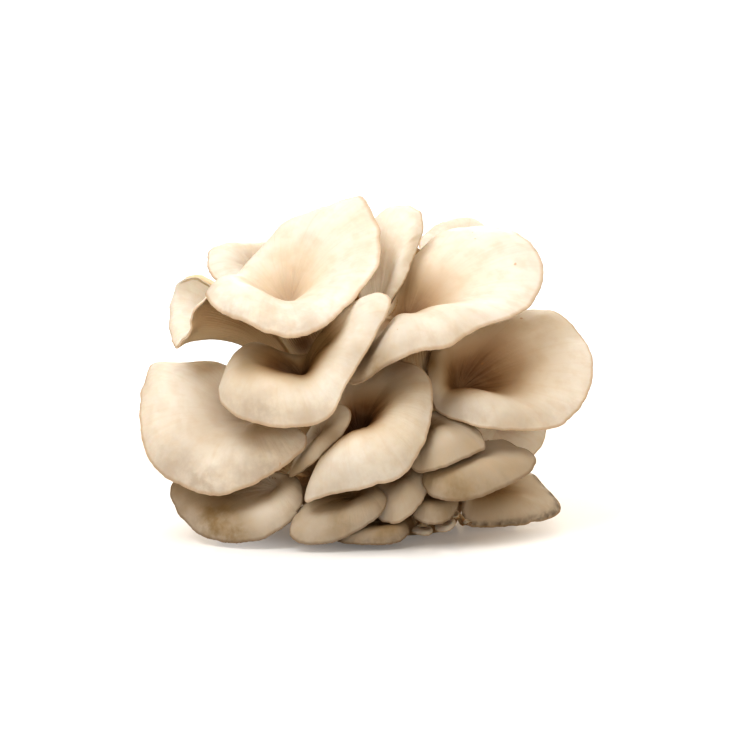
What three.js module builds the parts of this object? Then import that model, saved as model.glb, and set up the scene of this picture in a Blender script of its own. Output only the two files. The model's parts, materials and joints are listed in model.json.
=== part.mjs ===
// A cluster of oyster mushrooms, as picked: mushrooms of many sizes growing from one fused foot.
// Millimetres, +Z up. The origin is the centre of the flat cut face under the foot, on which the
// cluster stands, and -Y is the side from which the large caps open.
import * as THREE from "three";

// ---- Driving dimensions -------------------------------------------------------------------

const GAP = 0.3; // clearance between a stem and the foot it grows from
const FOOT = { lean: [-1, 8], halfWidth: 37, halfDepth: 31, top: 48, waist: 12, cut: 0.84 };
const FOOT_SECTORS = 24;

// A large mushroom and a small one differ in how finely their surface is divided.
const LARGE = {
  sectors: 20,
  skin: [0.13, 0.28, 0.43, 0.57, 0.7, 0.82, 0.92, 1],
  gills: [1, 0.9, 0.77, 0.62, 0.46],
  stem: 6,
};
const SMALL = {
  sectors: 14,
  skin: [0.2, 0.42, 0.62, 0.82, 1],
  gills: [1, 0.78, 0.54],
  stem: 4,
};
const TINY = {
  sectors: 10,
  skin: [0.35, 0.7, 1],
  gills: [1, 0.7],
  stem: 3,
};

const COLOURS = { cap: 0xe9d9bd, foot: 0xd9c8a6 };

// ---- The mushrooms ------------------------------------------------------------------------
// root: where the stem leaves the foot, as [azimuth, elevation] in degrees, with -90 at the front.
// hollow: the lowest point of the cap's funnel. neck: the stem's radius there.
// rim: the cap's margin, anticlockwise seen from above the cap, as [x, y, z, roll]: roll is how
// far the skin arches over the margin before it turns down to it.

const MUSHROOMS = [
  {
    name: "top_funnel_mushroom", size: LARGE, root: [-155, 70], hollow: [-42, -8, 100], neck: 10,
    rim: [
      [-76, -38, 106, 7], [-69, -46, 100, 12], [-57, -52, 96, 13], [-42, -55, 91, 13],
      [-28, -50, 94, 11], [-15, -40, 104, 8], [-3, -24, 119, 5], [-4, -8, 133, 3],
      [-8, 0, 142, 2], [-14, 6, 146, 3], [-25, 10, 140, 5], [-38, 14, 137, 6], [-54, 8, 123, 6],
      [-67, -8, 110, 6], [-75, -28, 108, 8],
    ],
  },
  {
    name: "back_left_top_mushroom", size: LARGE, root: [152, 58], hollow: [-57, 34, 108], neck: 5,
    rim: [
      [-79, 30, 116, 3], [-78, 24, 110, 4], [-71, 20, 104, 6], [-58, 22, 100, 6],
      [-45, 34, 103, 4], [-39, 46, 112, 3], [-50, 50, 119, 3], [-65, 44, 121, 3],
      [-76, 38, 120, 3],
    ],
  },
  {
    name: "left_trumpet_mushroom", size: LARGE, root: [168, 42], hollow: [-56, 9, 85], neck: 8, flare: 0.35,
    rim: [
      [-83, -26, 97, 2], [-77, -20, 103, 3], [-76, -5, 106, 3], [-81, 6, 109, 3],
      [-89, 14, 108, 4], [-94, 20, 101, 5], [-96, 18, 91, 5], [-95, 8, 86, 4],
      [-92, -8, 81, 3], [-89, -20, 84, 2], [-84, -27, 91, 2],
    ],
  },
  {
    name: "folded_lip_mushroom", size: LARGE, root: [-136, 42], hollow: [-36, -30, 71], neck: 7,
    rim: [
      [-71, -46, 66, 15], [-65, -56, 59, 20], [-52, -62, 55, 23], [-37, -64, 54, 23],
      [-24, -62, 58, 18], [-17, -58, 70, 11], [-10, -52, 82, 10], [-2, -46, 95, 7],
      [2, -40, 107, 5], [-8, -33, 106, 4], [-20, -27, 93, 3], [-31, -23, 80, 3],
      [-42, -21, 79, 3], [-54, -22, 84, 4], [-63, -26, 83, 5], [-68, -34, 76, 9],
    ],
  },
  {
    name: "left_fan_mushroom", size: LARGE, root: [-155, 28], hollow: [-57, -20, 50], neck: 7,
    rim: [
      [-106, -22, 59, 3], [-105, -31, 44, 5], [-99, -38, 33, 8], [-87, -46, 26, 12],
      [-71, -52, 23, 16], [-54, -54, 29, 16], [-40, -51, 38, 12], [-32, -47, 46, 6],
      [-44, -36, 51, 3], [-54, -14, 64, 3], [-70, -4, 72, 3], [-88, 0, 73, 3],
      [-102, -6, 72, 3],
    ],
  },
  {
    name: "low_left_mushroom", size: LARGE, root: [-142, 9], hollow: [-47, -28, 22], neck: 6,
    rim: [
      [-93, -22, 21, 3], [-88, -34, 10, 5], [-77, -46, 4, 7], [-62, -54, 3, 8],
      [-48, -56, 7, 9], [-37, -54, 16, 9], [-35, -48, 24, 6], [-38, -38, 28, 4],
      [-54, -22, 28, 3], [-74, -14, 29, 3], [-87, -14, 27, 3],
    ],
  },
  {
    name: "narrow_fold_mushroom", size: SMALL, root: [-128, 25], hollow: [-28, -40, 47], neck: 3,
    rim: [
      [-41, -46, 30, 3], [-34, -50, 34, 5], [-26, -52, 41, 6], [-19, -51, 48, 6],
      [-15, -48, 55, 4], [-16, -44, 59, 3], [-21, -41, 60, 2], [-28, -41, 55, 2],
      [-35, -43, 45, 2],
    ],
  },
  {
    name: "centre_funnel_mushroom", size: LARGE, root: [-100, 34], hollow: [-11, -30, 46], neck: 8,
    rim: [
      [-33, -62, 23, 12], [-21, -66, 26, 20], [-6, -66, 29, 26], [7, -62, 33, 26],
      [16, -54, 45, 20], [20, -44, 60, 14], [18, -35, 72, 8], [11, -27, 76, 5],
      [-4, -20, 77, 3], [-15, -18, 73, 3], [-23, -28, 61, 3], [-23, -38, 48, 4],
      [-29, -50, 33, 8],
    ],
  },
  {
    name: "top_blade_mushroom", size: LARGE, root: [-60, 82], hollow: [-3, 2, 95], neck: 5,
    rim: [
      [-3, -9, 96, 3], [6, -7, 106, 5], [12, 2, 118, 6], [17, 12, 132, 5],
      [13, 18, 139, 4], [6, 22, 140, 4], [-3, 22, 136, 4], [-9, 16, 127, 3],
      [-12, 8, 113, 3], [-11, -3, 101, 2],
    ],
  },
  {
    name: "top_right_mushroom", size: LARGE, root: [-46, 58], hollow: [9, -9, 92], neck: 10.5,
    rim: [
      [-14, -50, 71, 13], [-2, -54, 77, 19], [11, -54, 84, 17], [26, -48, 86, 16],
      [40, -38, 93, 15], [57, -26, 97, 12], [67, -8, 106, 8], [69, 8, 117, 6],
      [60, 22, 127, 6], [44, 30, 130, 6], [29, 32, 128, 6], [18, 24, 122, 4],
      [9, 13, 113, 3], [3.5, -3, 101, 3], [-4, -17, 93, 3],
      [-11, -34, 90, 4], [-17, -45, 80, 6],
    ],
  },
  {
    name: "right_funnel_mushroom", size: LARGE, root: [-18, 38], hollow: [32, -11, 62], neck: 7,
    rim: [
      [22, -31, 57, 6], [30, -38, 53, 10], [40, -42, 51, 13], [55, -40, 49, 15],
      [73, -32, 49, 12], [86, -18, 58, 6], [91, -4, 70, 4], [89, 6, 80, 4],
      [80, 14, 90, 4], [68, 19, 94, 4], [53, 16, 92, 4], [29, 0, 87, 3],
      [20, -14, 80, 2], [19, -24, 68, 3],
    ],
  },
  {
    name: "back_top_right_mushroom", size: LARGE, root: [34, 56], hollow: [34, 55, 104], neck: 5,
    rim: [
      [20, 51, 112, 3], [28, 45, 109, 4], [38, 44, 109, 5], [46, 50, 112, 4],
      [49, 60, 118, 3], [46, 69, 126, 3], [40, 73, 130, 3], [33, 73, 130, 3],
      [25, 70, 128, 3], [19, 65, 124, 3], [16, 58, 119, 3],
    ],
  },
  {
    name: "mid_right_mushroom", size: SMALL, root: [-65, 40], hollow: [18, -31, 49], neck: 4,
    rim: [
      [13, -50, 33, 6], [23, -54, 35, 10], [34, -52, 39, 10], [42, -44, 43, 6],
      [40, -36, 48, 4], [34, -30, 52, 3], [27, -26, 54, 3], [18, -26, 54, 3],
      [11, -34, 48, 3], [8, -44, 39, 4],
    ],
  },
  {
    name: "low_right_mushroom", size: LARGE, root: [-55, 24], hollow: [24, -28, 32], neck: 5,
    rim: [
      [16, -44, 30, 4], [18, -50, 24, 8], [25, -54, 21, 12], [38, -54, 22, 14],
      [53, -48, 27, 12], [63, -40, 32, 7], [64, -32, 37, 4], [57, -26, 40, 3],
      [49, -22, 42, 3], [37, -22, 39, 3], [24, -30, 34, 3],
    ],
  },
  {
    name: "back_right_mushroom", size: SMALL, root: [8, 16], hollow: [50, 28, 38], neck: 5,
    rim: [
      [47, 20, 25, 3], [59, 22, 24, 4], [68, 26, 28, 5], [73, 32, 36, 5],
      [72, 38, 46, 4], [64, 42, 52, 3], [52, 42, 52, 3], [41, 32, 45, 3],
      [41, 22, 35, 3],
    ],
  },
  {
    name: "bottom_right_mushroom", size: LARGE, root: [-17, 2], hollow: [41, -4, 17], neck: 4.5,
    rim: [
      [35, -20, 5, 3], [48, -14, 2, 6], [64, -6, 2, 7], [76, 2, 4, 5],
      [78, 8, 7, 3], [73, 10, 14, 3], [65, 10, 21, 3], [51, 6, 24, 3],
      [39, -2, 23, 3], [34, -13, 14, 3],
    ],
  },
  {
    name: "bottom_left_mushroom", size: SMALL, root: [-111, 4], hollow: [-14, -40, 20], neck: 5,
    rim: [
      [-39, -56, 14, 5], [-40, -60, 7, 9], [-34, -62, 4, 12], [-21, -62, 5, 13],
      [-9, -60, 11, 12], [0, -56, 18, 7], [0, -50, 23, 4], [-7, -40, 25, 2],
      [-22, -37, 24, 2], [-33, -44, 19, 4],
    ],
  },
  {
    name: "bottom_round_mushroom", size: SMALL, root: [-84, 14], hollow: [5, -35, 28], neck: 4,
    rim: [
      [-3, -50, 13, 8], [4, -54, 11, 11], [12, -52, 16, 11], [17, -46, 22, 8],
      [18, -38, 30, 5], [11, -30, 34, 3], [1, -30, 32, 3], [-5, -38, 24, 4],
    ],
  },
  {
    name: "bottom_small_mushroom", size: SMALL, root: [-97, 0], hollow: [-3, -39, 8], neck: 3,
    rim: [
      [-20, -56, 4, 4], [-10, -58, 3, 7], [4, -56, 3, 8], [10, -50, 6, 6],
      [8, -42, 10, 3], [-2, -36, 10, 2], [-15, -40, 8, 2],
    ],
  },
  {
    name: "bottom_button_mushroom", size: SMALL, root: [-57, 6], hollow: [20, -31, 18], neck: 3.5,
    rim: [
      [11, -44, 13, 6], [17, -48, 10, 9], [25, -46, 10, 9], [30, -40, 13, 7],
      [31, -32, 18, 4], [24, -26, 20, 3], [14, -30, 18, 3],
    ],
  },
  {
    name: "first_tiny_mushroom", size: TINY, root: [-72, 0], hollow: [16, -30, 5], neck: 1.6,
    rim: [
      [12, -36, 4, 1.5], [16, -38, 3, 2], [20, -36, 3, 2], [20, -32, 5, 1.5],
      [16, -31, 6, 1], [12, -33, 5, 1],
    ],
  },
  {
    name: "second_tiny_mushroom", size: TINY, root: [-56, -1], hollow: [25.5, -27, 6.5], neck: 1.6,
    rim: [
      [22, -34, 4.5, 1.5], [26, -36, 4, 2], [30, -33, 6, 2], [30, -29, 8, 1.5],
      [26, -27, 8.5, 1], [22, -30, 6.5, 1],
    ],
  },
  {
    name: "third_tiny_mushroom", size: TINY, root: [-46, 5], hollow: [30, -20, 8.5], neck: 1.2,
    rim: [
      [28, -23, 8.5, 1], [30, -24.5, 8, 1.2], [32, -23.5, 8.5, 1.2], [32, -21, 10, 1],
      [30, -19.5, 10.5, 0.8], [28, -21, 9.5, 0.8],
    ],
  },
  {
    name: "pin_mushroom", size: TINY, root: [-40, 1], hollow: [35.4, -24, 5.5], neck: 1.1,
    rim: [
      [33.8, -24, 5.6, 2.4], [34.6, -25.4, 5.3, 2.4], [36.2, -25.4, 5.3, 2.4],
      [37, -24, 5.6, 2.4], [36.2, -22.6, 6, 2.4], [34.6, -22.6, 6, 2.4],
    ],
  },
  {
    name: "back_high_mushroom", size: LARGE, root: [86, 64], hollow: [4, 48, 90], neck: 7,
    rim: [
      [-33, 44, 102, 4], [-10, 40, 117, 6], [9, 40, 122, 6], [16, 44, 118, 5],
      [20, 58, 102, 5], [17, 74, 84, 6], [0, 81, 72, 8], [-22, 75, 78, 6],
      [-36, 60, 89, 4],
    ],
  },
  {
    name: "back_left_mushroom", size: LARGE, root: [146, 27], hollow: [-42, 36, 58], neck: 6,
    rim: [
      [-76, 24, 50, 4], [-72, 28, 62, 4], [-56, 38, 78, 4], [-36, 50, 84, 4],
      [-22, 62, 76, 5], [-24, 70, 56, 7], [-42, 68, 40, 8], [-64, 48, 37, 7],
    ],
  },
  {
    name: "back_side_mushroom", size: LARGE, root: [26, 34], hollow: [48, 34, 64], neck: 6,
    rim: [
      [34, 58, 71, 4], [46, 47, 86, 4], [60, 42, 89, 4], [78, 32, 84, 5],
      [84, 30, 64, 6], [74, 42, 46, 8], [50, 60, 42, 8], [32, 68, 54, 6],
    ],
  },
  {
    name: "back_low_left_mushroom", size: LARGE, root: [152, 8], hollow: [-44, 30, 24], neck: 6,
    rim: [
      [-78, 18, 24, 4], [-70, 26, 36, 4], [-50, 42, 42, 4], [-28, 58, 36, 4],
      [-22, 68, 20, 5], [-34, 68, 6, 7], [-56, 52, 3, 7], [-74, 28, 9, 5],
    ],
  },
  {
    name: "back_low_centre_mushroom", size: LARGE, root: [82, 24], hollow: [8, 50, 26], neck: 6,
    rim: [
      [-16, 66, 22, 4], [-10, 60, 38, 4], [8, 56, 48, 4], [26, 60, 42, 4],
      [34, 70, 26, 5], [28, 80, 8, 7], [8, 84, 3, 7], [-10, 78, 9, 5],
    ],
  },
  {
    name: "back_low_right_mushroom", size: SMALL, root: [44, 8], hollow: [34, 38, 18], neck: 5,
    rim: [
      [36, 66, 16, 3], [33, 56, 28, 3], [42, 48, 35, 3], [55, 46, 28, 3],
      [61, 48, 14, 4], [57, 58, 4, 5], [44, 68, 3, 5],
    ],
  },
];

// ---- Curves and surfaces ------------------------------------------------------------------

const vec = (p) => new THREE.Vector3(p[0], p[1], p[2]);
const along = (point, direction, distance) => point.clone().addScaledVector(direction, distance);

// A point on the foot's dome and the dome's outward normal there.
function domePoint([azimuth, elevation]) {
  const a = THREE.MathUtils.degToRad(azimuth);
  const e = THREE.MathUtils.degToRad(elevation);
  const rise = FOOT.top - FOOT.waist;
  const radii = new THREE.Vector3(FOOT.halfWidth, FOOT.halfDepth, rise);
  const unit = new THREE.Vector3(Math.cos(e) * Math.cos(a), Math.cos(e) * Math.sin(a), Math.sin(e));
  const centre = new THREE.Vector3(FOOT.lean[0], FOOT.lean[1], FOOT.waist);
  const point = unit.clone().multiply(radii).add(centre);
  const normal = unit.clone().divide(radii).normalize();
  return { point, normal };
}

// A Bezier curve of any degree, by de Casteljau's construction.
function bezier(control, t) {
  let points = control.map((p) => p.clone());
  while (points.length > 1) {
    points = points.slice(1).map((p, i) => points[i].clone().lerp(p, t));
  }
  return points[0];
}

// The margin as evenly spaced points, each with the roll that the skin has there.
function marginPoints(rim, sectors) {
  const curve = new THREE.CatmullRomCurve3(rim.map(vec), true, "centripetal");
  const rolls = new THREE.CatmullRomCurve3(
    rim.map((p) => new THREE.Vector3(p[3], 0, 0)), true, "catmullrom", 0.5,
  );
  return Array.from({ length: sectors }, (_, j) => {
    const t = curve.getUtoTmapping(j / sectors);
    return { point: curve.getPoint(t), roll: rolls.getPoint(t).x };
  });
}

// The direction that a closed loop faces, by Newell's method.
function loopNormal(points) {
  const normal = new THREE.Vector3();
  points.forEach((p, i) => normal.add(p.clone().cross(points[(i + 1) % points.length])));
  return normal.normalize();
}

// Unit directions for the sectors as they leave the axis: half way between even spacing and the
// true bearing of the margin, so that the sectors never cross in the neck.
function sectorDirections(points, hollow, axis) {
  const count = points.length;
  const bearings = points.map((p) => {
    const d = p.clone().sub(hollow);
    return along(d, axis, -d.dot(axis)).normalize();
  });
  const side = bearings[0].clone();
  const across = axis.clone().cross(side).normalize();
  const angles = bearings.map((d) => Math.atan2(d.dot(across), d.dot(side)));
  let [sin, cos] = [0, 0];
  angles.forEach((angle, j) => {
    const even = (2 * Math.PI * j) / count;
    sin += Math.sin(angle - even);
    cos += Math.cos(angle - even);
  });
  const offset = Math.atan2(sin, cos);
  return angles.map((angle, j) => {
    const even = offset + (2 * Math.PI * j) / count;
    const turn = Math.atan2(Math.sin(angle - even), Math.cos(angle - even));
    const blended = even + 0.5 * turn;
    return along(side.clone().multiplyScalar(Math.cos(blended)), across, Math.sin(blended));
  });
}

// ---- One mushroom -------------------------------------------------------------------------

// The rings of points that make the skin, the gill side and the stem, from the hollow's centre
// over the margin to the stem's foot.
function mushroomRings({ size, root, hollow, neck, rim, flare = 0.7, flesh = 0.55, edge = 1.8, bed = 1 }) {
  const { sectors } = size;
  const margin = marginPoints(rim, sectors);
  const points = margin.map((m) => m.point);
  const { point: rootPoint, normal: rootNormal } = domePoint(root);
  const start = along(rootPoint, rootNormal, GAP);
  const centre = vec(hollow);
  const facing = loopNormal(points);
  const rising = centre.clone().sub(start).normalize();
  const axis = rising.clone().lerp(facing, 0.45).normalize();
  const directions = sectorDirections(points, centre, axis);

  // Each sector of the skin leaves the hollow flat, climbs the funnel's wall, spreads, arches
  // over by its roll and turns down to the margin.
  const profiles = margin.map(({ point, roll }, j) => {
    const reach = point.clone().sub(centre);
    const height = reach.dot(axis);
    const lateral = along(reach, axis, -height);
    const distance = lateral.length();
    const outward = lateral.clone().normalize();
    const d = directions[j];
    const bowl = neck * 0.5 * bed;
    const wall = along(along(centre, d, bowl + 0.22 * (distance - bowl)), axis, flare * (height + roll));
    const arch = along(along(point, facing, roll), outward, -0.3 * distance);
    return [centre, along(centre, d, bowl), wall, arch, point];
  });
  const skin = size.skin.map((t) => profiles.map((p) => bezier(p, t)));

  // The gill side lies under the skin by the flesh's thickness, which grows towards the stem.
  const thickness = (t) => edge + (neck * flesh - edge) * (1 - t) ** 1.2;
  const below = (t, j) => {
    const step = 0.02;
    const [previous, next] = [(j + sectors - 1) % sectors, (j + 1) % sectors];
    const at = bezier(profiles[j], t);
    const outward = bezier(profiles[j], Math.min(1, t + step)).sub(bezier(profiles[j], t - step));
    const sideways = bezier(profiles[next], t).sub(bezier(profiles[previous], t));
    return along(at, outward.cross(sideways).normalize(), -thickness(t));
  };
  const gills = size.gills.map((t) => profiles.map((_, j) => below(t, j)));

  // The stem runs in one bend from the foot's surface to the underside of the hollow.
  const top = along(centre, axis, -neck * 0.9);
  const length = top.distanceTo(start);
  const spine = [start, along(start, rootNormal, length * 0.35), along(top, axis, -length * 0.35), top];
  const stem = Array.from({ length: size.stem }, (_, k) => {
    const t = 1 - k / (size.stem - 1);
    const middle = bezier(spine, t);
    const ahead = bezier(spine, Math.min(1, t + 0.01)).sub(bezier(spine, Math.max(0, t - 0.01))).normalize();
    const radius = neck * (0.78 + 0.22 * t ** 2);
    return directions.map((d) => along(middle, along(d, ahead, -d.dot(ahead)).normalize(), radius));
  });
  return { pole: centre, rings: [...skin, ...gills, ...stem], end: start };
}

// A closed surface through rings of points, with a point at each end.
function closedSurface({ pole, rings, end }) {
  const sectors = rings[0].length;
  const vertices = [pole, ...rings.flat(), end];
  const last = vertices.length - 1;
  const at = (i, j) => 1 + i * sectors + (j % sectors);
  const faces = [];
  for (let j = 0; j < sectors; j += 1) {
    faces.push(0, at(0, j), at(0, j + 1));
    for (let i = 0; i < rings.length - 1; i += 1) {
      faces.push(at(i, j), at(i + 1, j), at(i, j + 1));
      faces.push(at(i, j + 1), at(i + 1, j), at(i + 1, j + 1));
    }
    faces.push(last, at(rings.length - 1, j + 1), at(rings.length - 1, j));
  }
  const geometry = new THREE.BufferGeometry().setFromPoints(vertices);
  geometry.setIndex(faces);
  geometry.computeVertexNormals();
  return geometry;
}

// ---- The fused foot -----------------------------------------------------------------------

// A dome over a waist that tapers in to the flat cut face, leaning back a little on it.
function footGeometry() {
  const ring = (elevation) => Array.from({ length: FOOT_SECTORS }, (_, j) => (
    domePoint([(360 * j) / FOOT_SECTORS, elevation]).point
  ));
  const cutFace = ring(0).map((p) => new THREE.Vector3(
    (p.x - FOOT.lean[0]) * FOOT.cut, (p.y - FOOT.lean[1]) * FOOT.cut, 0,
  ));
  const rings = [72, 56, 40, 24, 10, 0].map(ring);
  return closedSurface({
    pole: domePoint([0, 90]).point,
    rings: [...rings, cutFace],
    end: new THREE.Vector3(0, 0, 0),
  });
}

// ---- The cluster --------------------------------------------------------------------------

function flesh(colour, roughness) {
  return new THREE.MeshStandardMaterial({ color: colour, roughness, metalness: 0 });
}

function named(name, geometry, material) {
  const mesh = new THREE.Mesh(geometry, material);
  mesh.name = name;
  return mesh;
}

const cluster = new THREE.Group();
cluster.add(named("fused_foot", footGeometry(), flesh(COLOURS.foot, 0.8)));
for (const mushroom of MUSHROOMS) {
  const geometry = closedSurface(mushroomRings(mushroom));
  cluster.add(named(mushroom.name, geometry, flesh(COLOURS.cap, 0.6)));
}

export default cluster;
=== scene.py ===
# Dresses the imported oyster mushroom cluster. Each plain CAD mushroom is a grid of rings running
# from its hollow over the margin, along the gill side and down the stem. The grid is read back
# from the frame, refined with smooth curves, and given gills, a thin wavy margin and live skin.
# Mushrooms are worked out in millimetres; lights, camera and floor are in metres.
import bpy
import itertools
import json
import math
import numpy as np
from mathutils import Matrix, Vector
from mathutils.bvhtree import BVHTree


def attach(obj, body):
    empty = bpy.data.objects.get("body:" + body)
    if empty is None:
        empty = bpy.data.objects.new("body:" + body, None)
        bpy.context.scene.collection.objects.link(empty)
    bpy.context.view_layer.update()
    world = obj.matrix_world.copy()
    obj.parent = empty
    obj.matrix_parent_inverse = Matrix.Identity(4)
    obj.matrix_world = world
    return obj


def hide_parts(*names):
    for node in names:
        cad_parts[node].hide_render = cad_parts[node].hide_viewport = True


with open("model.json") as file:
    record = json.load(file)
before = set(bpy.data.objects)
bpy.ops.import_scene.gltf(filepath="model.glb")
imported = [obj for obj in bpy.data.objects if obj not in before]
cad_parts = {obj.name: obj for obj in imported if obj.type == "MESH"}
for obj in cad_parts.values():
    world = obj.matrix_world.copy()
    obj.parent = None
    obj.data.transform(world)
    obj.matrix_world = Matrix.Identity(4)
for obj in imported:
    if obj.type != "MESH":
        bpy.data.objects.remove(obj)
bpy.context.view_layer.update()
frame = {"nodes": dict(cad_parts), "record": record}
MM = 0.001
FOOT_NODE = "fused_foot"
FOOT_MIDDLE = np.array((-1.0, 8.0, 20.0))

# ---- Noise ----------------------------------------------------------------------------------

NOISE_CELLS = 256
LAST_CELL = NOISE_CELLS - 1
NOISE_GAIN = 1.6
PERMUTATION = np.tile(np.random.default_rng(7).permutation(NOISE_CELLS), 3)
SLOPES = np.random.default_rng(8).normal(size=(NOISE_CELLS, 3))
SLOPES /= np.linalg.norm(SLOPES, axis=1, keepdims=True)


def noise(p):
    """Gradient noise, about -1 to 1, at points given in the noise's own unit."""
    i = np.floor(p).astype(int)
    f = p - i
    s = f * f * f * (f * (f * 6 - 15) + 10)
    total = 0
    for dx, dy, dz in itertools.product((0, 1), repeat=3):
        h = PERMUTATION[(i[..., 0] + dx) & LAST_CELL]
        h = PERMUTATION[h + ((i[..., 1] + dy) & LAST_CELL)]
        h = PERMUTATION[h + ((i[..., 2] + dz) & LAST_CELL)]
        w = np.where(dx, s[..., 0], 1 - s[..., 0])
        w = w * np.where(dy, s[..., 1], 1 - s[..., 1])
        w = w * np.where(dz, s[..., 2], 1 - s[..., 2])
        total = total + w * (SLOPES[h] * (f - np.array((dx, dy, dz)))).sum(-1)
    return total * NOISE_GAIN


def smooth(x, a, b):
    """0 below a, 1 above b, and a smooth step between."""
    t = np.clip((x - a) / (b - a), 0, 1)
    return t * t * (3 - 2 * t)


def fading(x, a, b):
    """1 below a, 0 above b, and a smooth step between."""
    return smooth(-x, -b, -a)


def spot(points, place, width, amount):
    """A soft spot: the amount at the place, and less away from it."""
    away = np.linalg.norm(points - np.array(place), axis=-1)
    return amount * np.exp(-(away / width) ** 2)


# ---- Reading a node's grid ------------------------------------------------------------------

WELD = 2e-3  # vertices nearer than this, in mm, are one


def welded(node):
    """A CAD node's vertices in millimetres, each once, and its triangles."""
    obj = frame["nodes"][node]
    mesh = obj.data
    co = np.empty(len(mesh.vertices) * 3)
    mesh.vertices.foreach_get("co", co)
    co = co.reshape(-1, 3)
    m = np.array(obj.matrix_world)
    co = (co @ m[:3, :3].T + m[:3, 3]) / MM
    mesh.calc_loop_triangles()
    tri = np.empty(len(mesh.loop_triangles) * 3, dtype=int)
    mesh.loop_triangles.foreach_get("vertices", tri)
    cells = np.round(co / WELD).astype(int)
    _, first, back = np.unique(cells, axis=0, return_index=True, return_inverse=True)
    return co[first], back.ravel()[tri].reshape(-1, 3)


def read_rings(node, start_near):
    """(pole, rings, end): the node's grid, ring by ring from the pole nearer to start_near."""
    co, tri = welded(node)
    near = [set() for _ in co]
    turn = {}
    for a, b, c in tri.tolist():
        for p, q, r in ((a, b, c), (b, c, a), (c, a, b)):
            near[p].update((q, r))
            turn[p, q] = r
    # The two poles have the most neighbours.
    order = sorted(range(len(co)), key=lambda k: -len(near[k]))[:2]
    pole, end = sorted(order, key=lambda k: np.linalg.norm(co[k] - np.array(start_near)))
    ring = [min(near[pole])]
    while len(ring) < len(near[pole]):
        ring.append(turn[pole, ring[-1]])
    rings, before = [ring], {pole}
    while True:
        here = set(ring)
        ahead = [near[v] - here - before for v in ring]
        if all(a == {end} for a in ahead):
            break
        count = len(ring)
        step = [ahead[j] & ahead[(j + 1) % count] for j in range(count)]
        if any(len(s) != 1 for s in step):
            raise ValueError(f"{node}: the grid of rings can't be followed")
        before = here
        ring = [next(iter(s)) for s in step]
        rings.append(ring)
    return co[pole], np.array([co[r] for r in rings]), co[end]


# ---- Room between neighbours ----------------------------------------------------------------

NODES = [entry["node"] for entry in frame["record"]["subparts"]]
SOLIDS = {node: welded(node) for node in NODES if node != FOOT_NODE}


def tree_without(node):
    """A search tree over the plain solids of all mushrooms but the one named."""
    points, faces, count = [], [], 0
    for name, (co, tri) in SOLIDS.items():
        if name != node:
            points.append(co)
            faces.append(tri + count)
            count += len(co)
    return BVHTree.FromPolygons(np.concatenate(points).tolist(), np.concatenate(faces).tolist())


def gaps(tree, points, far=6.0):
    """How far each point is from the tree's surfaces, in mm, and no more than far."""
    found = [tree.find_nearest(p, far)[3] for p in points.reshape(-1, 3).tolist()]
    return np.array([far if d is None else d for d in found]).reshape(points.shape[:-1])


# ---- Splines --------------------------------------------------------------------------------

def around(ring_values, count):
    """Closed cubic splines through the values of each ring, as count values a ring."""
    v = np.asarray(ring_values, float)
    n = v.shape[1]
    a = 4 * np.eye(n) + np.roll(np.eye(n), 1, 0) + np.roll(np.eye(n), -1, 0)
    bend = 6 * (np.roll(v, -1, 1) - 2 * v + np.roll(v, 1, 1))
    m = np.einsum("ij,rj...->ri...", np.linalg.inv(a), bend)
    x = np.arange(count) * n / count
    i = np.floor(x).astype(int)
    f = (x - i)[None, :, None]
    g = 1 - f
    k = (i + 1) % n
    return g * v[:, i] + f * v[:, k] + (g ** 3 - g) * m[:, i] / 6 + (f ** 3 - f) * m[:, k] / 6


def along(knots, rows, at):
    """Natural cubic splines through rows at knots, read at the given parameters."""
    x = np.asarray(knots, float)
    y = np.asarray(rows, float)
    n = len(x)
    h = np.diff(x)
    a = np.zeros((n, n))
    b = np.zeros_like(y)
    a[0, 0] = a[-1, -1] = 1
    for i in range(1, n - 1):
        a[i, i - 1], a[i, i], a[i, i + 1] = h[i - 1], 2 * (h[i - 1] + h[i]), h[i]
        b[i] = 6 * ((y[i + 1] - y[i]) / h[i] - (y[i] - y[i - 1]) / h[i - 1])
    m = np.linalg.solve(a, b.reshape(n, -1)).reshape(y.shape)
    at = np.asarray(at, float)
    i = np.clip(np.searchsorted(x, at, side="right") - 1, 0, n - 2)
    shape = (-1,) + (1,) * (y.ndim - 1)
    w, f = h[i].reshape(shape), ((at - x[i]) / h[i]).reshape(shape)
    g = 1 - f
    return g * y[i] + f * y[i + 1] + w * w * ((g ** 3 - g) * m[i] + (f ** 3 - f) * m[i + 1]) / 6


def over_the_pole(pole, rings, shares):
    """Knots and rows of curves that run from the far side of the pole across it and outward.

    The opposite columns carry each curve across the pole, so that the surface is smooth there."""
    cols = rings.shape[1]
    across = np.roll(rings[:2], cols // 2, 1)
    knots = [-shares[1], -shares[0], 0.0, *shares]
    return knots, np.concatenate([across[::-1], np.broadcast_to(pole, (1, cols, 3)), rings])


def unit(v):
    return v / (np.linalg.norm(v, axis=-1, keepdims=True) + 1e-12)


def grid_normals(grid):
    """Outward normals of a grid of rows by columns that closes on itself across the columns."""
    down = np.gradient(grid, axis=0)
    across = np.roll(grid, -1, 1) - np.roll(grid, 1, 1)
    return unit(np.cross(down, across))


# ---- Mesh making ----------------------------------------------------------------------------

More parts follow.
